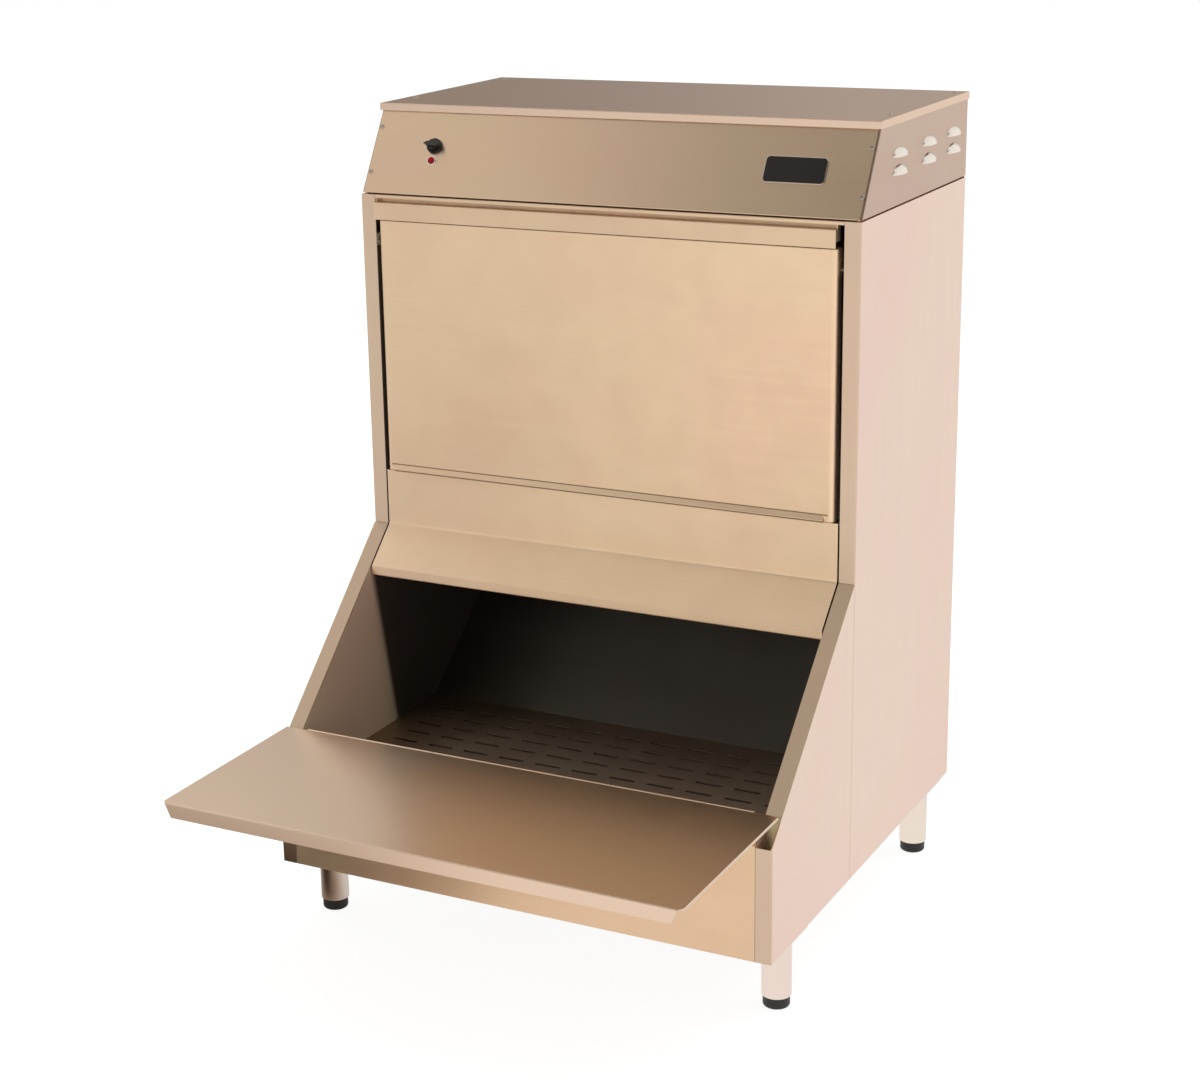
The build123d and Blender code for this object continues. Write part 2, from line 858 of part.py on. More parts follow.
def screw():
    """Pan-head screw standing on its local XY plane."""
    with BuildPart() as one:
        Cylinder(screw_head_radius, screw_head_height, align=(Align.CENTER, Align.CENTER, Align.MIN))
        fillet(one.part.edges().sort_by(Axis.Z)[-1], radius=screw_head_height * 0.6)
        Cylinder(screw_radius, screw_length, align=(Align.CENTER, Align.CENTER, Align.MAX))
        with Locations((0, 0, screw_head_height)):
            Box(screw_head_radius, screw_slot, screw_slot, mode=Mode.SUBTRACT)
            Box(screw_slot, screw_head_radius, screw_slot, mode=Mode.SUBTRACT)
    return one.part


one_screw = screw()

with BuildPart() as cabinet_screws:
    for x, along in panel_screw_places:
        with Locations(panel_plane(x, along)):
            add(one_screw)
    for x, y in lid_screw_places:
        with Locations((x, y, z_top)):
            add(one_screw)
    for x, z in back_screw_places:
        with Locations(Plane(origin=(x, y_back, z), z_dir=(0, 1, 0))):
            add(one_screw)

# --- controls ------------------------------------------------------------------------
with BuildPart() as thermostat_body:
    with BuildSketch(panel_plane(knob_x, knob_along, -skin)):
        RectangleRounded(thermostat_size, thermostat_size, thermostat_corner)
    extrude(amount=-thermostat_depth)
    with BuildSketch(panel_plane(knob_x, knob_along, -skin)):
        Circle(bushing_radius)
    extrude(amount=skin + running_gap)
    with BuildSketch(panel_plane(knob_x, knob_along, skin)):
        Circle(shaft_radius + running_gap)
    extrude(amount=-thermostat_depth / 2, mode=Mode.SUBTRACT)

with BuildPart() as thermostat_shaft:
    with BuildSketch(panel_plane(knob_x, knob_along, -skin - shaft_root)):
        Circle(shaft_radius)
    extrude(amount=skin + shaft_root + shaft_end)

with BuildPart() as control_knob:
    with BuildSketch(panel_plane(knob_x, knob_along, knob_gap)):
        Circle(knob_radius)
    extrude(amount=knob_skirt, taper=8)
    with BuildSketch(panel_plane(knob_x, knob_along, knob_gap)):
        Circle(knob_radius * knob_hub_ratio)
    extrude(amount=knob_height * 0.8, taper=4)
    with BuildSketch(panel_plane(knob_x, knob_along, knob_gap)):
        with BuildLine():
            Polyline(
                (-pointer_reach, 0),
                (-pointer_reach * 0.55, pointer_width * 0.42),
                (knob_radius * 0.7, pointer_width * 0.5),
                (knob_radius * 0.95, 0),
                (knob_radius * 0.7, -pointer_width * 0.5),
                (-pointer_reach * 0.55, -pointer_width * 0.42),
                close=True,
            )
        make_face()
    extrude(amount=knob_height)
    with BuildSketch(panel_plane(knob_x, knob_along, knob_gap)):
        Circle(shaft_radius + press_gap)
    extrude(amount=shaft_end - knob_gap + press_gap, mode=Mode.SUBTRACT)

with BuildPart() as lamp_bezel:
    with BuildSketch(panel_plane(knob_x, lamp_along)):
        Circle(lamp_radius + lamp_rim)
        Circle(lamp_radius - lamp_rim, mode=Mode.SUBTRACT)
    extrude(amount=skin)
    with BuildSketch(panel_plane(knob_x, lamp_along)):
        Circle(lamp_radius)
        Circle(lamp_radius - lamp_rim, mode=Mode.SUBTRACT)
    extrude(amount=-lamp_depth)

with BuildPart() as lamp_lens:
    with BuildSketch(panel_plane(knob_x, lamp_along, 4 * skin - lamp_depth)):
        Circle(lamp_radius - lamp_rim - press_gap)
    extrude(amount=lamp_depth - 4 * skin + lamp_dome)
    soften(lamp_lens.part.edges().filter_by(GeomType.CIRCLE).sort_by(Axis.Z)[-1], lamp_dome / 2)

with BuildPart() as badge_plate:
    with BuildSketch(panel_plane(badge_x, badge_along)):
        RectangleRounded(badge_width, badge_height, badge_corner)
    extrude(amount=badge_thick)
    soften(outer_rim(badge_plate.part, badge_x, badge_along, badge_thick), 0.8)

# --- upper door ----------------------------------------------------------------------
x_door = x_post - door_side_gap
door_top = z_rail - door_top_gap
y_door_back = y_door_face + door_depth

with BuildPart() as upper_door_skin:
    block((-x_door, x_door), (y_door_face, y_door_back), (door_bottom, door_top))
    soften(z_edges_at(upper_door_skin.part, (-x_door, y_door_face), (x_door, y_door_face)), door_bend)
    soften(x_edges_at(upper_door_skin.part, (y_door_face, door_top)), door_top_bend)
    block(
        (-x_door + door_bend, x_door - door_bend),
        (y_door_face + skin, y_door_back),
        (door_bottom + skin, door_top - skin),
        mode=Mode.SUBTRACT,
    )
    block(
        (-x_door + skin, x_door - skin),
        (y_door_face + door_bend, y_door_back),
        (door_bottom + skin, door_top - skin),
        mode=Mode.SUBTRACT,
    )
    rod(-half, half, pivot_y, pivot_z, rod_radius + running_gap, mode=Mode.SUBTRACT)

with BuildPart() as upper_door_liner:
    block(
        (-x_door + skin, x_door - skin),
        (y_door_back - skin - liner, y_door_back - skin),
        (door_bottom + skin, pivot_z - rod_radius - skin),
    )
    block(
        (-x_door + skin, x_door - skin),
        (y_door_face + door_bend, y_door_back - skin),
        (door_bottom + skin, door_bottom + skin + liner),
    )

x_pull = x_door - pull_end_gap
y_pull = y_door_face - pull_throw
z_pull = door_bottom + pull_rise

z_lip_low = door_bottom - pull_drop
z_lip_high = z_lip_low + pull_fold

with BuildPart() as upper_door_pull:
    prism(
        [
            (y_door_face, z_pull),
            (y_pull, z_lip_high),
            (y_pull, z_lip_low),
            (y_pull + skin, z_lip_low),
            (y_pull + skin, z_lip_high - skin),
            (y_door_face, z_pull - 2 * skin),
        ],
        -x_pull,
        x_pull,
    )

with BuildPart() as door_rod:
    rod(-x_post - track_depth + 2 * skin, x_post + track_depth - 2 * skin, pivot_y, pivot_z, rod_radius)

with BuildPart() as door_rollers:
    for side in (-1, 1):
        x_near = side * (x_post + skin)
        x_far = side * (x_post + skin + roller_width)
        x_low, x_high = sorted((x_near, x_far))
        rod(x_low, x_high, pivot_y, pivot_z, roller_radius)
        rod(x_low, x_high, pivot_y, pivot_z, rod_radius + press_gap, mode=Mode.SUBTRACT)

# --- lower door, open as a shelf -----------------------------------------------------
hinge_y, hinge_z = on_slope(hinge_along, hinge_out)
shelf_top = hinge_z + hinge_out - door_rest_gap
shelf_back = hinge_y - knuckle_radius - hinge_gap
shelf_front = hinge_y - shelf_length
x_shelf = half - shelf_side_inset
x_lip = x_shelf - shelf_clip_x

with BuildPart() as lower_door:
    with BuildSketch(Plane.XY.offset(shelf_top - skin)):
        with BuildLine():
            Polyline(
                (-x_shelf, shelf_back),
                (x_shelf, shelf_back),
                (x_shelf, shelf_front + shelf_clip_y),
                (x_lip, shelf_front),
                (-x_lip, shelf_front),
                (-x_shelf, shelf_front + shelf_clip_y),
                close=True,
            )
        make_face()
    extrude(amount=skin)
    with BuildSketch(Plane.XZ.offset(-shelf_front)):
        with BuildLine():
            Polyline(
                (-x_lip, shelf_top),
                (x_lip, shelf_top),
                (x_lip - lip_end_slant, shelf_top - shelf_lip),
                (-x_lip + lip_end_slant, shelf_top - shelf_lip),
                close=True,
            )
        make_face()
    extrude(amount=-skin)
    x_hem = x_lip - lip_end_slant
    block(
        (-x_hem, x_hem),
        (shelf_front, shelf_front + shelf_hem),
        (shelf_top - shelf_lip, shelf_top - shelf_lip + skin),
    )
    for side in (-1, 1):
        block(
            sorted((side * x_shelf, side * (x_shelf - shelf_side_hem_width))),
            (shelf_front + shelf_clip_y, shelf_back),
            (shelf_top - shelf_side_hem, shelf_top),
        )
    soften(x_edges_at(lower_door.part, (shelf_front, shelf_top)), 1.8)

knuckle_pitch = 2 * hinge_half_length / knuckle_count
knuckle_spans = [
    (-hinge_half_length + index * knuckle_pitch, -hinge_half_length + (index + 1) * knuckle_pitch - 0.6)
    for index in range(knuckle_count)
]
leaf_low = shelf_top - skin - leaf_thick
leaf_high = shelf_top - skin

with BuildPart() as hinge_door_leaf:
    block(
        (-hinge_half_length, hinge_half_length),
        (hinge_y - leaf_width, shelf_back),
        (leaf_low, leaf_high),
    )
    for x_low, x_high in knuckle_spans[1::2]:
        block((x_low, x_high), (shelf_back, hinge_y), (leaf_low, leaf_high))
        rod(x_low, x_high, hinge_y, hinge_z, knuckle_radius)
    rod(-half, half, hinge_y, hinge_z, pin_radius + running_gap, mode=Mode.SUBTRACT)

leaf_reach = hinge_along - knuckle_radius - hinge_gap

with BuildPart() as hinge_fixed_leaf:
    prism(
        [
            on_slope(hinge_along - leaf_width),
            on_slope(leaf_reach),
            on_slope(leaf_reach, leaf_thick),
            on_slope(hinge_along - leaf_width, leaf_thick),
        ],
        -hinge_half_length,
        hinge_half_length,
    )
    for x_low, x_high in knuckle_spans[0::2]:
        prism(
            [
                on_slope(leaf_reach),
                on_slope(hinge_along),
                on_slope(hinge_along, leaf_thick),
                on_slope(leaf_reach, leaf_thick),
            ],
            x_low,
            x_high,
        )
        rod(x_low, x_high, hinge_y, hinge_z, knuckle_radius)
    rod(-half, half, hinge_y, hinge_z, pin_radius + running_gap, mode=Mode.SUBTRACT)

with BuildPart() as hinge_pin:
    rod(-hinge_half_length, hinge_half_length - 0.6, hinge_y, hinge_z, pin_radius)

# --- blower, heater and wiring points in the header ----------------------------------
with BuildPart() as blower_housing:
    rod(-blower_width / 2, blower_width / 2, blower_y, blower_z, blower_radius)
    block((-blower_width / 2, blower_width / 2), (outlet_low, outlet_high), (z_seam, blower_z))
    rod(
        -blower_width / 2 + blower_wall,
        blower_width / 2 - blower_wall,
        blower_y,
        blower_z,
        blower_radius - blower_wall,
        mode=Mode.SUBTRACT,
    )
    block(
        (-blower_width / 2 + blower_wall, blower_width / 2 - blower_wall),
        (outlet_low + blower_wall, outlet_high - blower_wall),
        (z_seam, blower_z),
        mode=Mode.SUBTRACT,
    )
    rod(-blower_width, 0, blower_y, blower_z, wheel_radius * inlet_ratio, mode=Mode.SUBTRACT)
    rod(0, blower_width, blower_y, blower_z, motor_shaft_radius * 1.5, mode=Mode.SUBTRACT)

wheel_low = -wheel_width / 2
wheel_high = wheel_width / 2
shaft_tip = blower_width / 2 + motor_length / 2

with BuildPart() as blower_wheel:
    rod(wheel_high - wheel_plate, wheel_high, blower_y, blower_z, wheel_radius)
    rod(wheel_low, wheel_low + wheel_ring, blower_y, blower_z, wheel_radius)
    rod(
        wheel_low,
        wheel_low + wheel_ring,
        blower_y,
        blower_z,
        wheel_radius - wheel_ring_width,
        mode=Mode.SUBTRACT,
    )
    with Locations(Plane(origin=(0, blower_y, blower_z), z_dir=(1, 0, 0))):
        with PolarLocations(wheel_radius - blade_inset, blade_count):
            Box(blade_chord, blade_thick, wheel_width, rotation=(0, 0, blade_angle))
    rod(wheel_high - hub_length, wheel_high, blower_y, blower_z, hub_radius)
    rod(wheel_high - wheel_plate, shaft_tip, blower_y, blower_z, motor_shaft_radius)

with BuildPart() as blower_motor:
    rod(blower_width / 2, blower_width / 2 + motor_length, blower_y, blower_z, motor_radius)
    soften(blower_motor.part.edges().filter_by(GeomType.CIRCLE).sort_by(Axis.X)[-1], motor_bend)
    rod(
        blower_width / 2,
        shaft_tip + skin,
        blower_y,
        blower_z,
        motor_shaft_radius + running_gap,
        mode=Mode.SUBTRACT,
    )
    block(
        (blower_width / 2 + motor_foot_inset, blower_width / 2 + motor_length - motor_foot_inset),
        (blower_y - motor_foot_half, blower_y + motor_foot_half),
        (z_seam, blower_z - motor_radius + motor_bend),
    )

element_high = z_seam + element_lead_height
element_upper = z_base + element_upper_height
element_lower = element_upper - element_spread
element_points = [
    (-element_riser, element_high),
    (-element_riser, element_upper),
    (-element_half_span, element_upper),
    (-element_half_span, element_lower),
    (element_half_span, element_lower),
    (element_half_span, element_upper),
    (element_riser, element_upper),
    (element_riser, element_high),
]

with BuildPart() as heating_element:
    with BuildLine(Plane(origin=(0, element_y, 0), x_dir=(1, 0, 0), z_dir=(0, -1, 0))) as element_route:
        FilletPolyline(*element_points, radius=element_bend)
    with BuildSketch(Plane(origin=(-element_riser, element_y, element_high), z_dir=(0, 0, -1))):
        Circle(element_radius)
    sweep()

with BuildPart() as element_brackets:
    for x in (-bracket_x, bracket_x):
        block(
            (x - bracket_thick / 2, x + bracket_thick / 2),
            (y_liner + liner, y_duct),
            (element_lower - bracket_margin, element_upper + bracket_margin),
        )
        for z in (element_lower, element_upper):
            rod(
                x - bracket_thick,
                x + bracket_thick,
                element_y,
                z,
                element_radius + running_gap,
                mode=Mode.SUBTRACT,
            )

with BuildPart() as high_limit:
    post(limit_x, blower_y, z_seam, z_seam + limit_flange_thick, limit_flange_radius)
    post(limit_x, blower_y, z_seam, z_seam + limit_height, limit_radius)
    for side in (-1, 1):
        tab_x = limit_x + side * limit_tab_pitch / 2
        block(
            (tab_x - limit_tab_thick / 2, tab_x + limit_tab_thick / 2),
            (blower_y - limit_tab_width / 2, blower_y + limit_tab_width / 2),
            (z_seam + limit_height - skin, z_seam + limit_height + limit_tab_height),
        )

terminal_y = y_back - terminal_from_back
terminal_top = z_seam + terminal_height

with BuildPart() as terminal_block:
    block(
        (terminal_x - terminal_length / 2, terminal_x + terminal_length / 2),
        (terminal_y - terminal_width / 2, terminal_y + terminal_width / 2),
        (z_seam, terminal_top),
    )
    with Locations((terminal_x, terminal_y, terminal_top)):
        with GridLocations(terminal_length / terminal_ways, 1, terminal_ways - 1, 1):
            Box(terminal_slot, 2 * terminal_width, 2 * terminal_slot_depth, mode=Mode.SUBTRACT)

with BuildPart() as power_gland:
    with Locations(Plane(origin=(gland_x, y_back, gland_z), z_dir=(0, 1, 0))):
        Cylinder(gland_flange_radius, gland_flange_thick, align=(Align.CENTER, Align.CENTER, Align.MIN))
        Cylinder(gland_cap_radius, gland_reach, align=(Align.CENTER, Align.CENTER, Align.MIN))
        Cylinder(gland_thread_radius, gland_thread_length, align=(Align.CENTER, Align.CENTER, Align.MAX))
        Cylinder(gland_bore_radius, 4 * gland_reach, mode=Mode.SUBTRACT)
    cap_edges = power_gland.part.edges().filter_by(GeomType.CIRCLE).group_by(Axis.Y)[-1]
    soften(cap_edges.sort_by(SortBy.RADIUS)[-1], gland_cap_bend)

# --- legs and feet -------------------------------------------------------------------
z_plate = z_base - leg_plate_thick
z_tube = foot_height + foot_clearance

with BuildPart() as legs:
    for x, y in leg_places:
        block(
            (x - leg_plate_x / 2, x + leg_plate_x / 2),
            (y - leg_plate_y / 2, y + leg_plate_y / 2),
            (z_plate, z_base),
        )
        post(x, y, z_tube, z_plate, leg_radius)
        post(x, y, z_tube + plug_height, z_base, leg_radius - leg_wall, mode=Mode.SUBTRACT)
        post(x, y, z_tube, z_base, foot_stem_radius + thread_gap, mode=Mode.SUBTRACT)
    for x, y in bolt_places:
        post(x, y, z_plate, z_base, leg_bolt_radius + running_gap, mode=Mode.SUBTRACT)

with BuildPart() as leg_bolts:
    for x, y in bolt_places:
        post(x, y, z_plate, z_base + skin + bolt_end, leg_bolt_radius)
        with BuildSketch(Plane.XY.offset(z_plate - bolt_head_height)):
            with Locations((x, y)):
                RegularPolygon(bolt_head_radius, 6)
        extrude(amount=bolt_head_height)


def foot(x, y):
    """Adjustable foot: a domed black pad on a threaded stem."""
    with BuildPart() as one:
        with Locations((x, y, 0)):
            Cylinder(foot_radius, foot_height, align=(Align.CENTER, Align.CENTER, Align.MIN))
        soften(one.part.edges().filter_by(GeomType.CIRCLE).sort_by(Axis.Z)[0], foot_bend)
        soften(one.part.edges().filter_by(GeomType.CIRCLE).sort_by(Axis.Z)[-1], foot_bend / 4)
        post(x, y, foot_height / 2, foot_height + foot_stem_length, foot_stem_radius)
    return one


foot_front_left, foot_rear_left, foot_front_right, foot_rear_right = [foot(x, y) for x, y in leg_places]

# --- output --------------------------------------------------------------------------
pieces = {
    "base_pan": base_pan,
    "base_insulation": base_insulation,
    "plenum_floor": plenum_floor,
    "back_panel": back_panel,
    "back_insulation": back_insulation,
    "duct_sheet": duct_sheet,
    "back_liner": back_liner,
    "side_panel_left": side_panel_left,
    "side_panel_right": side_panel_right,
    "hopper_side_left": hopper_side_left,
    "hopper_side_right": hopper_side_right,
    "side_liner_left": side_liner_left,
    "side_liner_right": side_liner_right,
    "side_insulation": side_insulation,
    "door_tracks": door_tracks,
    "top_rail": top_rail,
    "throat_panel": throat_panel,
    "throat_liner": throat_liner,
    "front_apron": front_apron,
    "hopper_floor": hopper_floor,
    "floor_supports": floor_supports,
    "chute_panel": chute_panel,
    "crumb_tray": crumb_tray,
    "top_deck": top_deck,
    "header_side_left": header_side_left,
    "header_side_right": header_side_right,
    "control_panel": control_panel,
    "header_back": header_back,
    "top_lid": top_lid,
    "cabinet_screws": cabinet_screws,
    "thermostat_body": thermostat_body,
    "thermostat_shaft": thermostat_shaft,
    "control_knob": control_knob,
    "lamp_bezel": lamp_bezel,
    "lamp_lens": lamp_lens,
    "badge_plate": badge_plate,
    "upper_door_skin": upper_door_skin,
    "upper_door_liner": upper_door_liner,
    "upper_door_pull": upper_door_pull,
    "door_rod": door_rod,
    "door_rollers": door_rollers,
    "lower_door": lower_door,
    "hinge_door_leaf": hinge_door_leaf,
    "hinge_fixed_leaf": hinge_fixed_leaf,
    "hinge_pin": hinge_pin,
    "blower_housing": blower_housing,
    "blower_wheel": blower_wheel,
    "blower_motor": blower_motor,
    "heating_element": heating_element,
    "element_brackets": element_brackets,
    "high_limit": high_limit,
    "terminal_block": terminal_block,
    "power_gland": power_gland,
    "legs": legs,
    "leg_bolts": leg_bolts,
    "foot_front_left": foot_front_left,
    "foot_front_right": foot_front_right,
    "foot_rear_left": foot_rear_left,
    "foot_rear_right": foot_rear_right,
}

os.makedirs("parts", exist_ok=True)

for label, piece in pieces.items():
    piece.part.label = label
    export_step(piece.part, f"parts/{label}.step")
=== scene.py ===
import math

import bmesh
import bpy
from mathutils import Matrix, Vector


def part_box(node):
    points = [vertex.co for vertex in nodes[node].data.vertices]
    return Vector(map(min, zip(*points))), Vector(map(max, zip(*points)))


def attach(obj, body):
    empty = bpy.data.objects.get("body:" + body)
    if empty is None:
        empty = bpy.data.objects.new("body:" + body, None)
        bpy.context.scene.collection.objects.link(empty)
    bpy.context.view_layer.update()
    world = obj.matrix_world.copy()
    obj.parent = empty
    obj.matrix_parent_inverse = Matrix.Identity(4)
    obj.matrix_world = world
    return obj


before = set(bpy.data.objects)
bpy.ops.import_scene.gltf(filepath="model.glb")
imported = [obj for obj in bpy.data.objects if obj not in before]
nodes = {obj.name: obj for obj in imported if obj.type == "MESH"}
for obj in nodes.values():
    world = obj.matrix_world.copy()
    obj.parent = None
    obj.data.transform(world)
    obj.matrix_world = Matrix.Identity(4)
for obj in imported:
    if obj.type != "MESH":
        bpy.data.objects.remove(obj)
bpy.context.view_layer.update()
scene = bpy.context.scene

# Tortilla chip warmer, in metres.  The shape comes from the frame, and this script gives it
# its finishes, a few thin lines that are too fine for the solids, and a white studio.


# --- node helpers ---------------------------------------------------------------------
def new_material(name):
    material = bpy.data.materials.new(name)
    material.use_nodes = True
    tree = material.node_tree
    return material, tree, tree.nodes["Principled BSDF"]


def add(tree, kind, **values):
    node = tree.nodes.new(kind)
    for key, value in values.items():
        setattr(node, key, value)
    return node


def coordinate(tree, kind, axis):
    """One axis of the object's place, of its normal, or of a direction in the world."""
    coord = add(tree, "ShaderNodeTexCoord")
    split = add(tree, "ShaderNodeSeparateXYZ")
    tree.links.new(coord.outputs[kind], split.inputs[0])
    return split.outputs[axis]


def mapped(tree, scale=(1, 1, 1), rotation=(0, 0, 0)):
    coord = add(tree, "ShaderNodeTexCoord")
    mapping = add(tree, "ShaderNodeMapping")
    mapping.inputs["Scale"].default_value = scale
    mapping.inputs["Rotation"].default_value = rotation
    tree.links.new(coord.outputs["Object"], mapping.inputs["Vector"])
    return mapping.outputs["Vector"]


def noise(tree, vector, scale, detail=4.0, roughness=0.55):
    node = add(tree, "ShaderNodeTexNoise")
    node.inputs["Scale"].default_value = scale
    node.inputs["Detail"].default_value = detail
    node.inputs["Roughness"].default_value = roughness
    tree.links.new(vector, node.inputs["Vector"])
    return node.outputs["Fac"]


def remap(tree, value, low, high, out_low, out_high):
    node = add(tree, "ShaderNodeMapRange")
    for key, number in zip(("From Min", "From Max", "To Min", "To Max"), (low, high, out_low, out_high)):
        node.inputs[key].default_value = number
    tree.links.new(value, node.inputs["Value"])
    return node.outputs["Result"]


def combine(tree, operation, first, second):
    node = add(tree, "ShaderNodeMath", operation=operation)
    for socket, value in zip(node.inputs, (first, second)):
        if isinstance(value, (int, float)):
            socket.default_value = value
        else:
            tree.links.new(value, socket)
    return node.outputs[0]


def total(tree, first, *others):
    for other in others:
        first = combine(tree, "ADD", first, other)
    return first


def product(tree, first, *others):
    for other in others:
        first = combine(tree, "MULTIPLY", first, other)
    return first


def inverse(tree, value):
    return combine(tree, "SUBTRACT", 1.0, value)


def between(tree, value, low, full_from, full_to, high):
    """1 in the middle of a range, and less towards 0 at either end."""
    rise = remap(tree, value, low, full_from, 0.0, 1.0)
    return product(tree, rise, remap(tree, value, full_to, high, 1.0, 0.0))


# Sockets of a Mix node: the first value, the second value and the result.
MIX_SOCKETS = {"VECTOR": (4, 5, 1), "RGBA": (6, 7, 2)}


def mixed(tree, kind, factor, first, second, blend_type="MIX"):
    node = add(tree, "ShaderNodeMix", data_type=kind, blend_type=blend_type)
    first_socket, second_socket, result = MIX_SOCKETS[kind]
    tree.links.new(factor, node.inputs[0])
    for index, value in ((first_socket, first), (second_socket, second)):
        if isinstance(value, tuple):
            node.inputs[index].default_value = value
        else:
            tree.links.new(value, node.inputs[index])
    return node.outputs[result]


def blend_colour(tree, factor, first, second, blend_type="MIX"):
    first, second = ((*c, 1.0) if isinstance(c, tuple) else c for c in (first, second))
    return mixed(tree, "RGBA", factor, first, second, blend_type)


def along_axis(tree, vector, axis):
    node = add(tree, "ShaderNodeVectorMath", operation="DOT_PRODUCT")
    tree.links.new(vector, node.inputs[0])
    node.inputs[1].default_value = axis
    return node.outputs["Value"]


def bump(tree, shader, height, strength, distance):
    node = add(tree, "ShaderNodeBump")
    node.inputs["Strength"].default_value = strength
    node.inputs["Distance"].default_value = distance
    tree.links.new(height, node.inputs["Height"])
    tree.links.new(node.outputs["Normal"], shader.inputs["Normal"])


def shaded(colour, factor):
    return tuple(min(1.0, c * factor) for c in colour)


# --- brushed steel ----------------------------------------------------------------------
GRAIN_STRETCH = 0.012
# Stretch of the noise for a grain that runs along each axis.
GRAIN = {"x": (GRAIN_STRETCH, 1.0, 1.0), "z": (1.0, 1.0, GRAIN_STRETCH)}
# Grain axes, turned a hair aside so that no face's normal lies along one.
AXIS = {"x": (1.0, 0.002, 0.003), "z": (0.002, 0.003, 1.0)}
# Grain on the faces that a sheet's grain meets end on.
TURNED = {"x": AXIS["z"], "z": AXIS["x"]}
END_ON = 0.6
LOOKS_UP = 0.5
LOOKS_FORWARD = -0.3
SLOPE_ANGLE = math.radians(43.264)  # the hopper's slope above level
SLOPE_STRETCH = 83.0
NOISE_SPREAD = (0.3, 0.7)  # where most of a noise's values lie
BRUSHED_DEPTH = 0.0001


def sloped(tree):
    """Grain coordinates that follow the hopper's slope on the faces that lean."""
    coord = add(tree, "ShaderNodeTexCoord")
    leaning = add(tree, "ShaderNodeMapping", vector_type="TEXTURE")
    leaning.inputs["Scale"].default_value = (1.0, 1.0, SLOPE_STRETCH)
    leaning.inputs["Rotation"].default_value = (SLOPE_ANGLE - math.radians(90), 0.0, 0.0)
    tree.links.new(coord.outputs["Object"], leaning.inputs["Vector"])
    leans = combine(tree, "GREATER_THAN", coordinate(tree, "Normal", "Z"), LOOKS_UP)
    return mixed(tree, "VECTOR", leans, mapped(tree, GRAIN["z"]), leaning.outputs["Vector"])


def grain_tangent(tree, grain):
    """Direction of the brushing within each face."""
    normal = add(tree, "ShaderNodeNewGeometry").outputs["Normal"]
    facing = along_axis(tree, normal, AXIS[grain])
    end_on = combine(tree, "GREATER_THAN", combine(tree, "ABSOLUTE", facing, 0.0), END_ON)
    across = add(tree, "ShaderNodeVectorMath", operation="CROSS_PRODUCT")
    tree.links.new(normal, across.inputs[0])
    tree.links.new(mixed(tree, "VECTOR", end_on, AXIS[grain], TURNED[grain]), across.inputs[1])
    return across.outputs[0]


def brushed_steel(
    name,
    colour,
    grain,
    rough=0.38,
    aniso=0.8,
    lines=0.035,
    cloudy=0.05,
    metallic=1.0,
    slope=False,
    front=None,
    relief=0.10,
    swing=0.03,
):
    """Brushed sheet: fine hairlines and soft marks.

    `lines` is how far the hairlines go light and dark, `cloudy` how rosy the soft patches are,
    and `swing` how far the roughness wanders.  With `slope` the grain follows the hopper's
    slope, and `front` is a painted shade: the darker colour given to the faces that look forward.
    """
    material, tree, shader = new_material(name)
    along = sloped(tree) if slope else mapped(tree, GRAIN[grain])
    hair = noise(tree, along, 900.0, detail=2.0, roughness=0.5)
    streak = noise(tree, along, 130.0, detail=3.0, roughness=0.6)
    cloud = noise(tree, mapped(tree), 3.1, detail=3.0, roughness=0.5)
    smear = noise(tree, mapped(tree, rotation=(0.3, 0.2, 0.5)), 14.0, detail=5.0, roughness=0.65)
    tone = total(tree, product(tree, hair, 0.6), product(tree, streak, 0.4))
    hairlines = remap(tree, tone, *NOISE_SPREAD, 0.0, 1.0)
    base = blend_colour(tree, hairlines, shaded(colour, 1 - lines), shaded(colour, 1 + lines))
    rosy = tuple(c * f for c, f in zip(colour, (1.0, 1.0 - cloudy, 1.0 - 0.4 * cloudy)))
    base = blend_colour(tree, remap(tree, cloud, 0.4, 0.6, 0.0, 1.0), base, rosy)
    # painted shade: faces that look forward are multiplied towards the darker `front` colour
    if front:
        forward = combine(tree, "LESS_THAN", coordinate(tree, "Normal", "Y"), LOOKS_FORWARD)
        tint = tuple(f / c for f, c in zip(front, colour))
        base = blend_colour(tree, forward, base, tint, "MULTIPLY")
    tree.links.new(base, shader.inputs["Base Color"])
    fine_play = remap(tree, tone, *NOISE_SPREAD, rough - swing, rough + swing)
    broad_play = remap(tree, smear, 0.35, 0.7, -0.7 * swing, swing)
    tree.links.new(total(tree, fine_play, broad_play), shader.inputs["Roughness"])
    shader.inputs["Metallic"].default_value = metallic
    shader.inputs["Anisotropic"].default_value = aniso
    tree.links.new(grain_tangent(tree, grain), shader.inputs["Tangent"])
    bump(tree, shader, tone, relief, BRUSHED_DEPTH)
    return material


HOOD_START = 0.3813  # the louvre hoods stand out past the header's sides
# colour of the painted highlight on the louvre hoods
HOOD_HIGHLIGHT_COLOUR = (0.76, 0.70, 0.63)
HOOD_ROUGH = 0.3
HOOD_SHEET_ANISO = 0.8
MOUTH_NORMAL = (0.0, 0.979, 0.203)  # square to the line where the throat ends
MOUTH_LINE = (0.101, 0.113)  # where the painted shadow begins and is full
# share of the colour that is left in the painted shadow behind the mouth
MOUTH_SHADOW_LEFT = 0.08


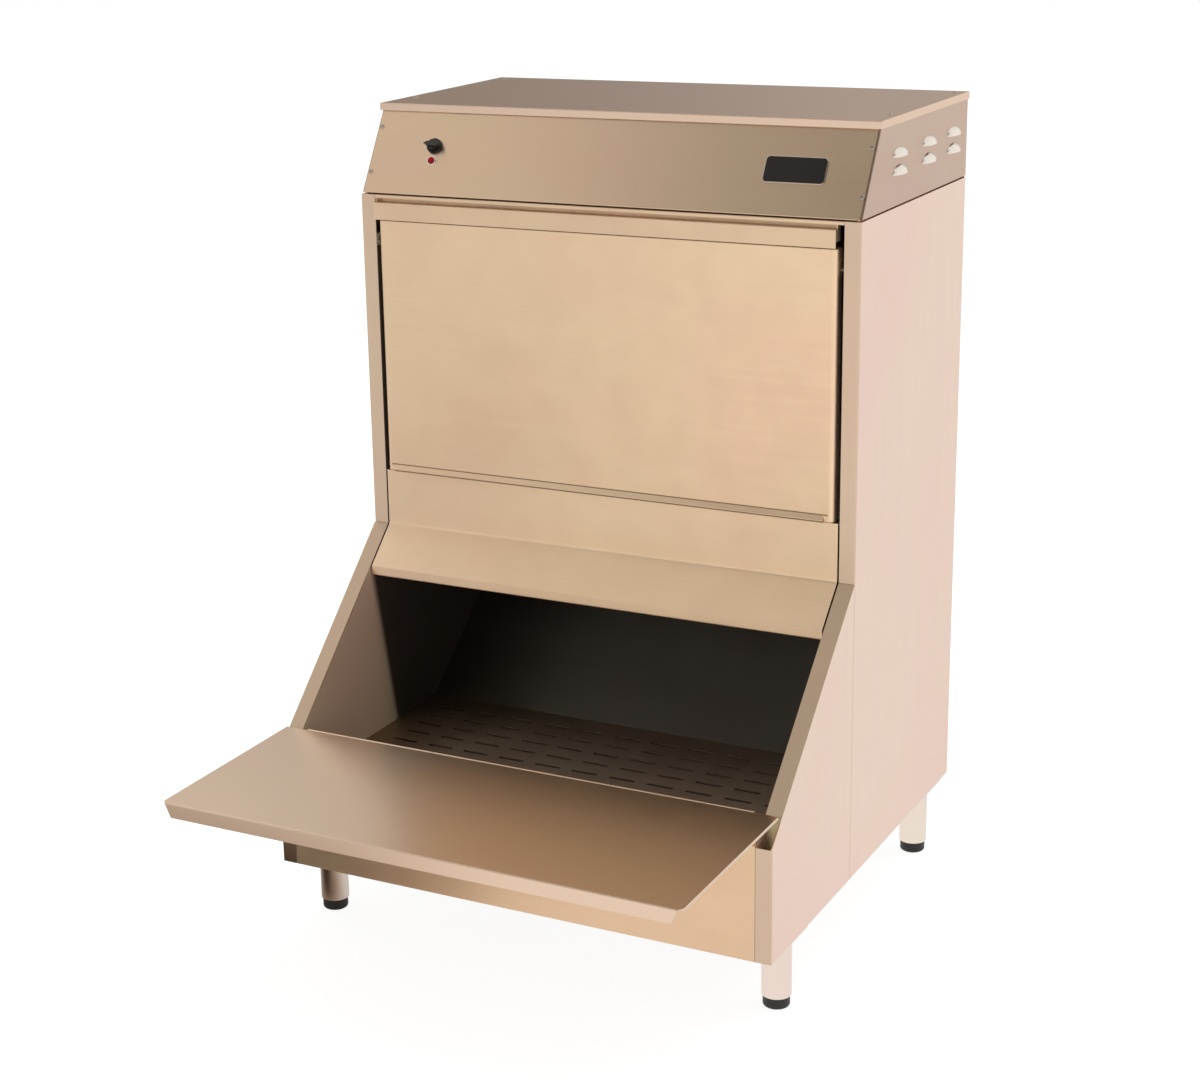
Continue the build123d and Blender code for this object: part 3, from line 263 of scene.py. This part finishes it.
def paint_hood_highlight(material):
    """Painted highlight: the louvre hoods get a lighter colour than the sheet and a smoother, unbrushed
    finish.
    """
    tree = material.node_tree
    shader = tree.nodes["Principled BSDF"]
    aside = combine(tree, "ABSOLUTE", coordinate(tree, "Object", "X"), 0.0)
    outside = combine(tree, "GREATER_THAN", aside, HOOD_START)
    inside = inverse(tree, outside)
    base = shader.inputs["Base Color"].links[0].from_socket
    rough = shader.inputs["Roughness"].links[0].from_socket
    tree.links.new(blend_colour(tree, outside, base, HOOD_HIGHLIGHT_COLOUR), shader.inputs["Base Color"])
    smooth = total(tree, product(tree, inside, rough), product(tree, outside, HOOD_ROUGH))
    tree.links.new(smooth, shader.inputs["Roughness"])
    tree.links.new(product(tree, inside, HOOD_SHEET_ANISO), shader.inputs["Anisotropic"])


def paint_shadow_behind_mouth(material):
    """Painted shadow of the throat: the inner walls go darker behind the line where the throat ends."""
    tree = material.node_tree
    shader = tree.nodes["Principled BSDF"]
    behind = along_axis(tree, add(tree, "ShaderNodeTexCoord").outputs["Object"], MOUTH_NORMAL)
    scaled = add(tree, "ShaderNodeVectorMath", operation="SCALE")
    tree.links.new(shader.inputs["Base Color"].links[0].from_socket, scaled.inputs[0])
    tree.links.new(remap(tree, behind, *MOUTH_LINE, 1.0, MOUTH_SHADOW_LEFT), scaled.inputs["Scale"])
    tree.links.new(scaled.outputs[0], shader.inputs["Base Color"])


# Smooth sheet, whose reflection is calmer than that of the other panels.
CALM = {"rough": 0.29, "lines": 0.02, "relief": 0.008, "swing": 0.008}

apron_steel = brushed_steel("apron_steel", (0.80, 0.585, 0.375), "x")
front_steel = brushed_steel("front_steel", (0.82, 0.62, 0.42), "x")
door_steel = brushed_steel("door_steel", (0.88, 0.66, 0.44), "x", rough=0.36)
throat_steel = brushed_steel("throat_steel", (0.92, 0.70, 0.475), "x", rough=0.36)
header_steel = brushed_steel("header_steel", (0.82, 0.62, 0.42), "x", aniso=0.65, **CALM)
# painted shade: the header's sides get a darker copy of the side steel
header_side_steel = brushed_steel("header_side_steel", (0.58, 0.44, 0.35), "z", rough=0.40)
# painted highlight on the louvre hoods
paint_hood_highlight(header_side_steel)
side_steel = brushed_steel(
    "side_steel",
    (0.82, 0.65, 0.545),
    "z",
    rough=0.42,
    lines=0.05,
    cloudy=0.035,
    slope=True,
    # painted shade on the faces of the side sheets that look forward
    front=(0.67, 0.51, 0.365),
)
back_steel = brushed_steel("back_steel", (0.74, 0.60, 0.50), "z", rough=0.42)
lid_steel = brushed_steel("lid_steel", (0.72, 0.54, 0.41), "x", aniso=0.4, cloudy=0.01, **CALM)
lid_shader = lid_steel.node_tree.nodes["Principled BSDF"]
lid_shader.inputs["Specular Tint"].default_value = (0.97, 0.93, 0.90, 1.0)
shelf_steel = brushed_steel(
    "shelf_steel",
    (0.71, 0.54, 0.40),
    "x",
    rough=0.3,
    aniso=0.5,
    lines=0.03,
    cloudy=0.01,
    relief=0.04,
    swing=0.01,
)
leg_steel = brushed_steel("leg_steel", (0.83, 0.73, 0.62), "z", rough=0.3, lines=0.02)
inner_steel = brushed_steel("inner_steel", (0.34, 0.26, 0.18), "x", rough=0.5, cloudy=0.1)
inner_side_steel = brushed_steel(
    "inner_side_steel", (0.56, 0.42, 0.30), "z", rough=0.55, cloudy=0.1, metallic=0.35
)
# painted shadow of the throat on the inner side walls
paint_shadow_behind_mouth(inner_side_steel)
track_steel = brushed_steel("track_steel", (0.50, 0.34, 0.22), "z", rough=0.55, metallic=0.35)
# painted shade: the sheets deep inside, which light does not reach, get a near-black steel
dark_steel = brushed_steel("dark_steel", (0.23, 0.215, 0.175), "x", rough=0.5, cloudy=0.1)


# --- other materials --------------------------------------------------------------------
FINER = 12  # how much finer the relief is than the clouds of colour
ROUGH_PLAY = 0.06
LENS_ROUGH = 0.2


def plain(name, colour, rough, metallic=0.0, grain=60.0, depth=0.0002, variation=0.12, strength=0.3):
    """Moulded, painted, turned or fibrous surface with a fine texture."""
    material, tree, shader = new_material(name)
    fine = noise(tree, mapped(tree), grain * FINER, roughness=0.6)
    cloud = noise(tree, mapped(tree), grain, roughness=0.6)
    tones = blend_colour(tree, cloud, shaded(colour, 1 - variation), shaded(colour, 1 + variation))
    tree.links.new(tones, shader.inputs["Base Color"])
    play = remap(tree, fine, *NOISE_SPREAD, rough - ROUGH_PLAY, rough + ROUGH_PLAY)
    tree.links.new(play, shader.inputs["Roughness"])
    shader.inputs["Metallic"].default_value = metallic
    bump(tree, shader, fine, strength, depth)
    return material


def turned_metal(name, colour, rough):
    return plain(name, colour, rough, metallic=1.0, grain=90, depth=0.00005, variation=0.05)


def coloured_lens(name, dark, light):
    material, tree, shader = new_material(name)
    tone = noise(tree, mapped(tree), 300.0)
    tree.links.new(blend_colour(tree, tone, dark, light), shader.inputs["Base Color"])
    shader.inputs["Roughness"].default_value = LENS_ROUGH
    return material


def set_specular(material, level):
    material.node_tree.nodes["Principled BSDF"].inputs["Specular IOR Level"].default_value = level


screw_steel = turned_metal("screw_steel", (0.55, 0.47, 0.40), 0.3)
bright_steel = turned_metal("bright_steel", (0.85, 0.80, 0.74), 0.22)
rod_steel = plain("rod_steel", (0.16, 0.13, 0.10), 0.4, metallic=1.0, grain=90)
# dark steel of the pull's top seam and of its painted shadow line
seam_and_shadow_steel = plain("seam_and_shadow_steel", (0.20, 0.135, 0.08), 0.5, metallic=0.6, grain=90, depth=0.00005)
brass = plain("brass", (0.75, 0.56, 0.27), 0.3, metallic=1.0)
sheath = plain("sheath", (0.10, 0.10, 0.09), 0.5, metallic=0.8, grain=120)
motor_paint = plain("motor_paint", (0.05, 0.05, 0.055), 0.4)
wool = plain("wool", (0.62, 0.54, 0.32), 0.95, grain=40, depth=0.002, variation=0.3, strength=0.8)
black_plastic = plain("black_plastic", (0.022, 0.021, 0.02), 0.5)
white_plastic = plain("white_plastic", (0.82, 0.81, 0.78), 0.35)
cream_plastic = plain("cream_plastic", (0.74, 0.68, 0.54), 0.45)
foot_plastic = plain("foot_plastic", (0.018, 0.015, 0.013), 0.55, grain=90)
knob_plastic = plain("knob_plastic", (0.012, 0.011, 0.010), 0.45)
set_specular(knob_plastic, 0.25)
badge_gloss = plain("badge_gloss", (0.008, 0.007, 0.007), 0.14, grain=30, depth=0.00002, variation=0.2)
set_specular(badge_gloss, 0.2)
lens = coloured_lens("lens", (0.075, 0.0006, 0.001), (0.10, 0.001, 0.0012))
set_specular(lens, 0.15)

# --- dress ------------------------------------------------------------------------------
DRESS = {
    front_steel: "top_rail top_deck",
    apron_steel: "front_apron",
    throat_steel: "throat_panel",
    door_steel: "upper_door_skin upper_door_pull",
    side_steel: "side_panel_left side_panel_right hopper_side_left hopper_side_right",
    header_steel: "control_panel",
    header_side_steel: "header_side_left header_side_right",
    back_steel: "header_back back_panel",
    lid_steel: "top_lid",
    shelf_steel: "lower_door hinge_door_leaf hinge_fixed_leaf",
    leg_steel: "legs",
    inner_steel: (
        "hopper_floor floor_supports throat_liner upper_door_liner base_pan crumb_tray plenum_floor"
    ),
    inner_side_steel: "side_liner_left side_liner_right",
    track_steel: "door_tracks",
    dark_steel: "back_liner chute_panel duct_sheet blower_housing element_brackets",
    screw_steel: "cabinet_screws",
    bright_steel: "lamp_bezel hinge_pin blower_wheel leg_bolts",
    rod_steel: "door_rod",
    black_plastic: "thermostat_body high_limit power_gland",
    knob_plastic: "control_knob",
    foot_plastic: "foot_front_left foot_front_right foot_rear_left foot_rear_right",
    white_plastic: "door_rollers",
    cream_plastic: "terminal_block",
    wool: "base_insulation back_insulation side_insulation",
    motor_paint: "blower_motor",
    sheath: "heating_element",
    brass: "thermostat_shaft",
    badge_gloss: "badge_plate",
    lens: "lamp_lens",
}
for material, names in DRESS.items():
    for name in names.split():
        mesh = nodes[name].data
        mesh.materials.clear()
        mesh.materials.append(material)


def new_piece(name, shape, material):
    """Makes an object of a bmesh, which it frees."""
    mesh = bpy.data.meshes.new(name)
    shape.to_mesh(mesh)
    shape.free()
    mesh.materials.append(material)
    piece = bpy.data.objects.new(name, mesh)
    scene.collection.objects.link(piece)
    return piece


# --- badge rim --------------------------------------------------------------------------
PANEL_ANGLE = math.radians(59.224)  # the control panel above level
BADGE_HALF_THICK = 0.0008
RIM_OUTER = (0.0886, 0.0386, 0.0063)  # width, height and corner radius
RIM_INNER = (0.0862, 0.0362, 0.0051)
RIM_OUTER_RISE = 0.0015
RIM_INNER_RISE = 0.0019
CORNER_STEPS = 8


def rounded_loop(width, height, corner):
    """Points round a rectangle with rounded corners, anticlockwise."""
    points = []
    for quarter, (sx, sy) in enumerate(((1, 1), (-1, 1), (-1, -1), (1, -1))):
        for step in range(CORNER_STEPS + 1):
            angle = math.radians(90 * (quarter + step / CORNER_STEPS))
            points.append(
                (
                    sx * (width / 2 - corner) + corner * math.cos(angle),
                    sy * (height / 2 - corner) + corner * math.sin(angle),
                )
            )
    return points


badge_low, badge_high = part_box("badge_plate")
panel_up = Vector((0.0, math.cos(PANEL_ANGLE), math.sin(PANEL_ANGLE)))
panel_out = Vector((0.0, -math.sin(PANEL_ANGLE), math.cos(PANEL_ANGLE)))
badge_middle = Vector([(a + b) / 2 for a, b in zip(badge_low, badge_high)])
badge_foot = badge_middle - BADGE_HALF_THICK * panel_out
rim_shape = bmesh.new()
rings = []
for outline, height in (
    (RIM_OUTER, 0.0),
    (RIM_OUTER, RIM_OUTER_RISE),
    (RIM_INNER, RIM_INNER_RISE),
    (RIM_INNER, 0.0),
):
    foot = badge_foot + height * panel_out
    loop = rounded_loop(*outline)
    rings.append([rim_shape.verts.new(foot + Vector((x, 0, 0)) + y * panel_up) for x, y in loop])
for ring, next_ring in zip(rings, rings[1:] + rings[:1]):
    for index in range(len(ring)):
        after_it = (index + 1) % len(ring)
        rim_shape.faces.new((ring[index], ring[after_it], next_ring[after_it], next_ring[index]))
bmesh.ops.recalc_face_normals(rim_shape, faces=rim_shape.faces)
badge_rim = new_piece("badge_rim", rim_shape, screw_steel)
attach(badge_rim, "cabinet")

# --- seam and painted shadow line of the upper door's pull ------------------------------
SEAM_AND_SHADOW_HALF_HEIGHT = 0.0009
SEAM_AND_SHADOW_PROUD = 0.0004
SEAM_AND_SHADOW_SUNK = 0.0008
SEAM_END_GAP = 0.008
# the lower strip is a painted shadow line along the pull's lip
LOWER_SHADOW_LINE_RISE = 0.0032  # above the pull's lower edge

pull_low, pull_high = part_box("upper_door_pull")
door_low, door_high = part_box("upper_door_skin")
for name, x_low, x_high, y_face, z_mid in (
    ("pull_seam_upper", door_low[0] + SEAM_END_GAP, door_high[0] - SEAM_END_GAP, door_low[1], pull_high[2]),
    # painted shadow line: a dark strip on the pull's face just above its lower edge
    ("pull_shadow_line_lower", pull_low[0], pull_high[0], pull_low[1], pull_low[2] + LOWER_SHADOW_LINE_RISE),
):
    seam_and_shadow_shape = bmesh.new()
    bmesh.ops.create_cube(seam_and_shadow_shape, size=1.0)
    for vert in seam_and_shadow_shape.verts:
        vert.co.x = x_low if vert.co.x < 0 else x_high
        vert.co.y = y_face + (-SEAM_AND_SHADOW_PROUD if vert.co.y < 0 else SEAM_AND_SHADOW_SUNK)
        vert.co.z = z_mid + (-SEAM_AND_SHADOW_HALF_HEIGHT if vert.co.z < 0 else SEAM_AND_SHADOW_HALF_HEIGHT)
    seam_and_shadow_line = new_piece(name, seam_and_shadow_shape, seam_and_shadow_steel)
    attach(seam_and_shadow_line, "upper_door")

# --- studio floor -----------------------------------------------------------------------
FLOOR_SIZE = 30
FLOOR_DROP = 0.0005
FLOOR_COLOUR = (0.9, 0.9, 0.9, 1.0)
FLOOR_GLOW = 1.14  # the floor as the camera sees it
FLOOR_GLOW_SHARE = 0.8  # the rest of what the camera sees takes the object's shadow
SWEEP_BEHIND = 1.06
# Where the shade begins, is full, is no longer full and ends, across and front to back.
SHADE_X = (-1.1, -0.85, -0.40, -0.10)
SHADE_Y = (-1.1, -0.8, -0.22, -0.10)
SHADE_LEFT = 0.05  # light that is left in the middle of the shade
SHADE_COLOUR = (1.0, 0.62, 0.42)


def mirrored_floor_light(tree):
    """The floor's light in reflections, and the share of the shade before the left leg."""
    x, y = (coordinate(tree, "Object", axis) for axis in "XY")
    aside = combine(tree, "DIVIDE", x, combine(tree, "MINIMUM", y, -0.2))
    near = remap(tree, y, -1.3, -0.6, 1.0, 0.86)
    in_front = product(tree, remap(tree, aside, 0.22, 0.80, 1.20, 0.86), near)
    behind = combine(tree, "GREATER_THAN", y, 0.0)
    sweep = total(tree, product(tree, inverse(tree, behind), in_front), product(tree, behind, SWEEP_BEHIND))
    shade = product(tree, between(tree, x, *SHADE_X), between(tree, y, *SHADE_Y))
    return product(tree, sweep, remap(tree, shade, 0.0, 1.0, 1.0, SHADE_LEFT)), shade


bpy.ops.mesh.primitive_plane_add(size=FLOOR_SIZE, location=(0, 0, -FLOOR_DROP))
floor = bpy.context.object
floor.name = "floor"
floor_material = bpy.data.materials.new("floor_white")
floor_material.use_nodes = True
tree = floor_material.node_tree
tree.nodes.clear()
out = add(tree, "ShaderNodeOutputMaterial")
diffuse = add(tree, "ShaderNodeBsdfDiffuse")
diffuse.inputs["Color"].default_value = FLOOR_COLOUR
glow = add(tree, "ShaderNodeEmission")
path = add(tree, "ShaderNodeLightPath")
seen = path.outputs["Is Camera Ray"]
mirrored = combine(tree, "MAXIMUM", path.outputs["Is Glossy Ray"], path.outputs["Is Transmission Ray"])
sweep_light, shade = mirrored_floor_light(tree)
glow_colour = blend_colour(tree, product(tree, mirrored, shade), (1.0, 1.0, 1.0), SHADE_COLOUR)
tree.links.new(glow_colour, glow.inputs["Color"])
glow_light = total(tree, product(tree, seen, FLOOR_GLOW), product(tree, mirrored, sweep_light))
tree.links.new(glow_light, glow.inputs["Strength"])
mix = add(tree, "ShaderNodeMixShader")
glow_share = combine(tree, "MAXIMUM", product(tree, seen, FLOOR_GLOW_SHARE), mirrored)
tree.links.new(glow_share, mix.inputs[0])
tree.links.new(diffuse.outputs[0], mix.inputs[1])
tree.links.new(glow.outputs[0], mix.inputs[2])
tree.links.new(mix.outputs[0], out.inputs[0])
floor.data.materials.append(floor_material)

# --- studio room ------------------------------------------------------------------------
ROOM_COLOUR = (1.0, 0.985, 0.96, 1)
ROOM_FILL = 0.6  # least light that matt surfaces get from the room
BAND_HEIGHT = (0.32, 0.52, 0.78, 0.87)  # where the dark band begins, is full, is full to, and ends


# In both of these, x and z are the direction that a reflection looks in, from -1 to 1.
def light_ahead(tree, x, z):
    """In front: bright low and overhead, with a band between that darkens to the right."""
    band = between(tree, z, *BAND_HEIGHT)
    depth = total(tree, remap(tree, x, -0.475, -0.415, 0.0, 0.56), remap(tree, x, -0.415, -0.35, 0.0, 0.30))
    overhead = remap(tree, x, -0.53, -0.47, 0.72, 0.92)
    return combine(tree, "SUBTRACT", overhead, product(tree, band, depth))


def light_behind(tree, x, z):
    """Behind: dark low at the left, bright above and at the right."""
    near_left = remap(tree, x, -0.50, -0.34, 0.14, 0.52)
    far_left = remap(tree, x, -0.86, -0.70, 0.85, 0.14)
    low = combine(tree, "MAXIMUM", near_left, far_left)
    high = remap(tree, x, -0.53, -0.41, 1.35, 0.45)
    rise = remap(tree, z, 0.30, 0.44, 0.0, 1.0)
    climb = product(tree, rise, combine(tree, "SUBTRACT", high, low))
    return total(tree, low, climb, remap(tree, x, -0.15, 0.2, 0.0, 0.6))


world = bpy.data.worlds.new("studio")
scene.world = world
world.use_nodes = True
tree = world.node_tree
tree.nodes.clear()
out = add(tree, "ShaderNodeOutputWorld")
path = add(tree, "ShaderNodeLightPath")
x, y, z = (coordinate(tree, "Generated", axis) for axis in "XYZ")
rear = remap(tree, y, -0.05, 0.15, 0.0, 1.0)
room = total(
    tree,
    product(tree, inverse(tree, rear), light_ahead(tree, x, z)),
    product(tree, rear, light_behind(tree, x, z)),
)
room = combine(tree, "MAXIMUM", room, product(tree, path.outputs["Is Diffuse Ray"], ROOM_FILL))
soft = add(tree, "ShaderNodeBackground")
tree.links.new(room, soft.inputs["Strength"])
soft.inputs["Color"].default_value = ROOM_COLOUR
white = add(tree, "ShaderNodeBackground")
white.inputs["Color"].default_value = (1, 1, 1, 1)
mix = add(tree, "ShaderNodeMixShader")
tree.links.new(path.outputs["Is Camera Ray"], mix.inputs[0])
tree.links.new(soft.outputs[0], mix.inputs[1])
tree.links.new(white.outputs[0], mix.inputs[2])
tree.links.new(mix.outputs[0], out.inputs[0])


def area(name, location, target, side, energy, colour):
    """Square soft light that shows in no reflection."""
    data = bpy.data.lights.new(name, "AREA")
    data.shape = "RECTANGLE"
    data.size, data.size_y = side, side
    data.energy = energy
    data.color = colour
    lamp = bpy.data.objects.new(name, data)
    scene.collection.objects.link(lamp)
    lamp.location = location
    lamp.rotation_mode = "QUATERNION"
    lamp.rotation_quaternion = (Vector(target) - Vector(location)).to_track_quat("-Z", "Y")
    lamp.visible_glossy = False


area("top", (-0.2, -0.55, 3.1), target=(-0.2, 0.0, 0.45), side=0.7, energy=150, colour=(1.0, 0.96, 0.90))
area("side", (2.6, 2.2, 2.4), target=(0.4, 0.2, 0.9), side=1.2, energy=22, colour=(1.0, 0.98, 0.96))

# --- camera -----------------------------------------------------------------------------
# The photograph's size in pixels, and the camera that was fitted to the cabinet's edges in it.
PHOTO_WIDTH, PHOTO_HEIGHT = 1200, 1079
AZIMUTH, ELEVATION, ROLL = 28.7307, 16.7651, -1.4583
CAMERA_PLACE = (1.4211, -2.8019, 1.5341)
FOCAL_PX, CENTRE_X, CENTRE_Y = 2336.36, 511.61, 533.06
SENSOR_WIDTH = 36.0

azimuth, elevation, roll = (math.radians(a) for a in (AZIMUTH, ELEVATION, ROLL))
forward = Vector(
    (-math.sin(azimuth) * math.cos(elevation), math.cos(azimuth) * math.cos(elevation), -math.sin(elevation))
)
right = forward.cross(Vector((0, 0, 1))).normalized()
up = right.cross(forward)
right_rolled = math.cos(roll) * right + math.sin(roll) * up
up_rolled = -math.sin(roll) * right + math.cos(roll) * up
camera_data = bpy.data.cameras.new("camera")
camera = bpy.data.objects.new("camera", camera_data)
scene.collection.objects.link(camera)
rotation = Matrix((right_rolled, up_rolled, -forward)).transposed()
camera.matrix_world = Matrix.Translation(CAMERA_PLACE) @ rotation.to_4x4()
camera_data.sensor_fit = "HORIZONTAL"
camera_data.sensor_width = SENSOR_WIDTH
camera_data.lens = FOCAL_PX / PHOTO_WIDTH * SENSOR_WIDTH
camera_data.shift_x = (PHOTO_WIDTH / 2 - CENTRE_X) / PHOTO_WIDTH
camera_data.shift_y = (CENTRE_Y - PHOTO_HEIGHT / 2) / PHOTO_WIDTH
camera_data.clip_end = 60
scene.camera = camera
scene.view_settings.view_transform = "Standard"
